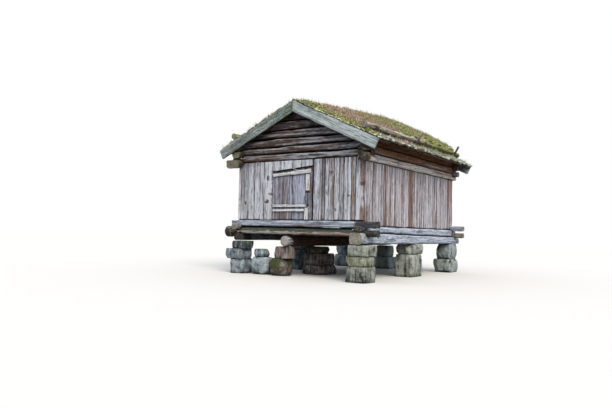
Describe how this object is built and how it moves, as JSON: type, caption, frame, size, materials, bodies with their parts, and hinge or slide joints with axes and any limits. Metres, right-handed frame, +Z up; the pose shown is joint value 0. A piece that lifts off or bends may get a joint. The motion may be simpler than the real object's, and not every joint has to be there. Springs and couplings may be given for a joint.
{
  "type": "log storehouse on stone piers",
  "caption": "Old timber storehouse with upright plank walls, log gables and a mossy turf roof, raised on dry stone piers, with a plank door.",
  "frame": {"origin": "on the level ground, under the middle of the hut's overall box", "axes": "+X to the right seen from the door, +Y from the door gable to the rear gable, +Z up"},
  "size_m": [5.1476, 6.56, 5.0521],
  "materials": {
    "stone": "rough, with moss and lichen",
    "log": "weathered, dark grey brown with green algae",
    "plank": "weathered silver grey with brown streaks",
    "door_wood": "weathered silver grey",
    "roof_wood": "weathered brown",
    "verge_wood": "weathered, with pale grey green lichen",
    "turf": "matt moss and turf"
  },
  "bodies": {
    "hut": {"pier_front_right": "stone", "pier_front_left": "stone", "pier_front_middle": "stone", "boulder_front": "stone", "pier_side_right": "stone", "pier_side_left": "stone", "pier_rear_right": "stone", "pier_rear_left": "stone", "pier_centre": "stone", "pier_rear_middle": "stone", "base_beam_right": "log", "base_beam_left": "log", "base_beam_middle": "log", "side_sill_right": "log", "side_sill_left": "log", "front_sill_lower": "log", "front_sill_upper": "log", "rear_sill_lower": "log", "rear_sill_upper": "log", "right_plate_logs": "log", "left_plate_logs": "log", "front_lintel_log": "log", "front_gable_logs": "log", "rear_lintel_log": "log", "rear_gable_logs": "log", "ridge_beam": "log", "purlins": "log", "turf_log_right": "log", "turf_log_left": "log", "floor_joists": "log", "front_wall_left": "plank", "front_wall_right": "plank", "rear_wall": "plank", "right_wall": "plank", "left_wall": "plank", "corner_posts": "plank", "door_posts": "plank", "door_head_boards": "plank", "floor": "plank", "roof_boards_right": "roof_wood", "roof_boards_left": "roof_wood", "turf_pegs": "roof_wood", "verge_boards_front": "verge_wood", "verge_boards_rear": "verge_wood", "turf_right": "turf", "turf_left": "turf"},
    "door": {"door_leaf": "door_wood", "door_battens": "door_wood", "door_stile": "door_wood"}
  },
  "joints": [
    {"name": "door_hinge", "type": "hinge", "parent": "hut", "child": "door", "pos_m": [-0.762, -2.9047, 1.48], "axis": [0, 0, 1], "range_deg": [0, 100]}
  ]
}
